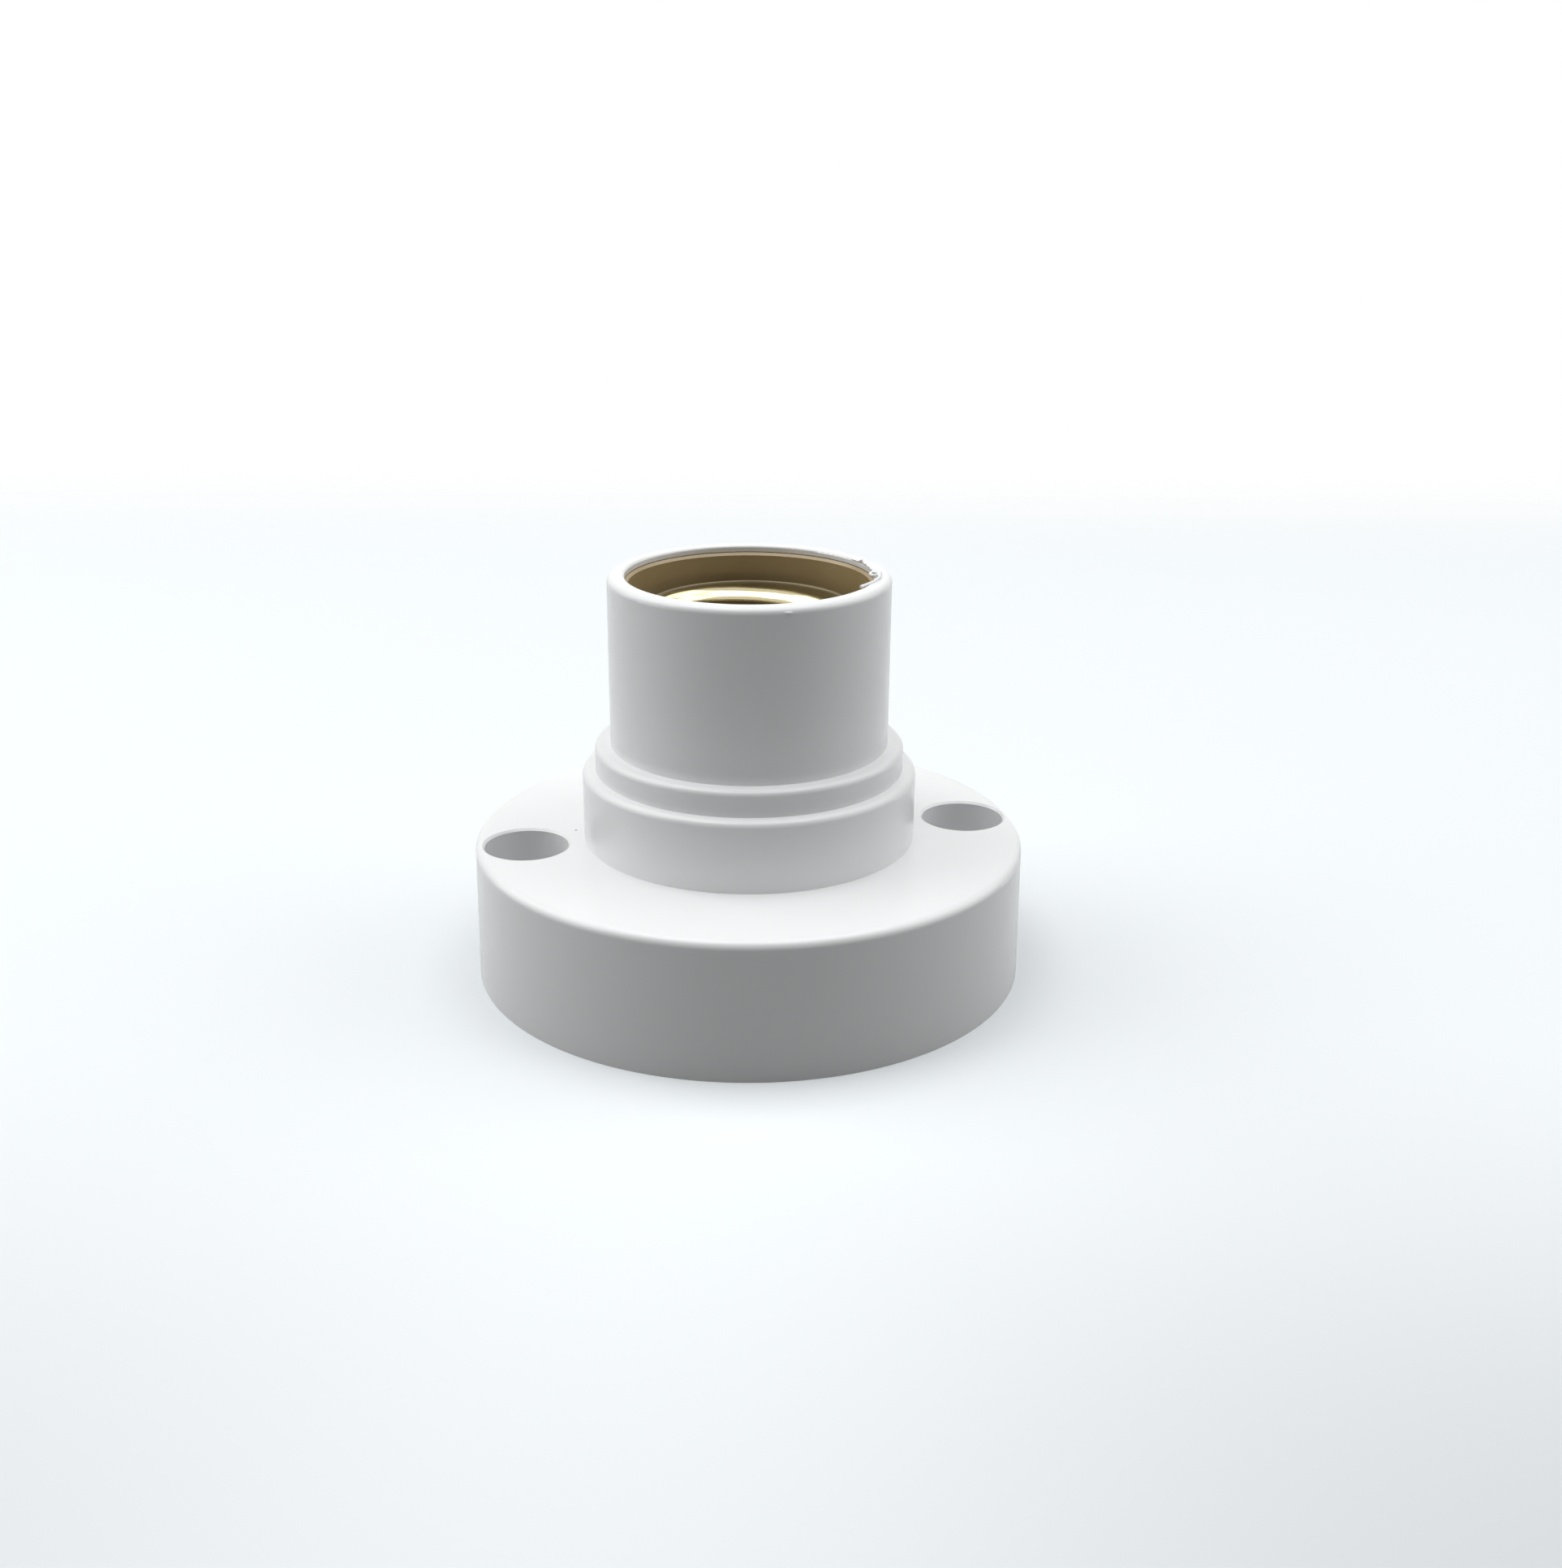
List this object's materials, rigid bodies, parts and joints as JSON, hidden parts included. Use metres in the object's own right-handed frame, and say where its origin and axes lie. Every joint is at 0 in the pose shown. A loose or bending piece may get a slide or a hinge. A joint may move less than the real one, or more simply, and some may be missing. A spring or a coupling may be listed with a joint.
{
  "type": "lamp holder",
  "caption": "Round surface-mounted lamp holder with two screw wells, a threaded sleeve and an Edison screw socket.",
  "frame": {"origin": "centre of the base's underside, on the surface that the holder is screwed to", "axes": "+Z out of the lamp's mouth, +X through the mounting holes"},
  "size_m": [0.075, 0.075, 0.0548],
  "materials": {
    "white_plastic": "glossy moulded white thermoplastic",
    "brown_plastic": "satin brown phenolic moulding",
    "shell_brass": "bright rolled brass sheet",
    "terminal_brass": "machined brass",
    "contact_bronze": "phosphor-bronze spring strip",
    "contact_silver": "plated contact rivet",
    "zinc_steel": "zinc-plated steel"
  },
  "bodies": {
    "root": {"base_housing": "white_plastic", "socket_core": "brown_plastic", "screw_shell": "shell_brass", "shell_screw_terminal_side": "zinc_steel", "shell_screw_nut_side": "zinc_steel", "shell_nut": "terminal_brass", "contact_strip": "contact_bronze", "contact_screw": "zinc_steel", "live_terminal": "terminal_brass", "neutral_terminal": "terminal_brass"},
    "sleeve": {"threaded_sleeve": "white_plastic"},
    "contact": {"contact_button": "contact_silver"},
    "live_clamp": {"live_terminal_screw": "zinc_steel"},
    "neutral_clamp": {"neutral_terminal_screw": "zinc_steel"}
  },
  "joints": [
    {"name": "sleeve_unscrew", "type": "slide", "parent": "root", "child": "sleeve", "axis": [0, 0, 1], "range_m": [0, 0.04]},
    {"name": "contact_press", "type": "slide", "parent": "root", "child": "contact", "axis": [0, 0, -1], "range_m": [0, 0.0018], "stiffness_N_per_m": 2500, "deforming": ["contact_strip"]},
    {"name": "live_clamp_screw", "type": "slide", "parent": "root", "child": "live_clamp", "axis": [0, 0, 1], "range_m": [0, 0.0025]},
    {"name": "neutral_clamp_screw", "type": "slide", "parent": "root", "child": "neutral_clamp", "axis": [0, 0, 1], "range_m": [0, 0.0025]}
  ]
}
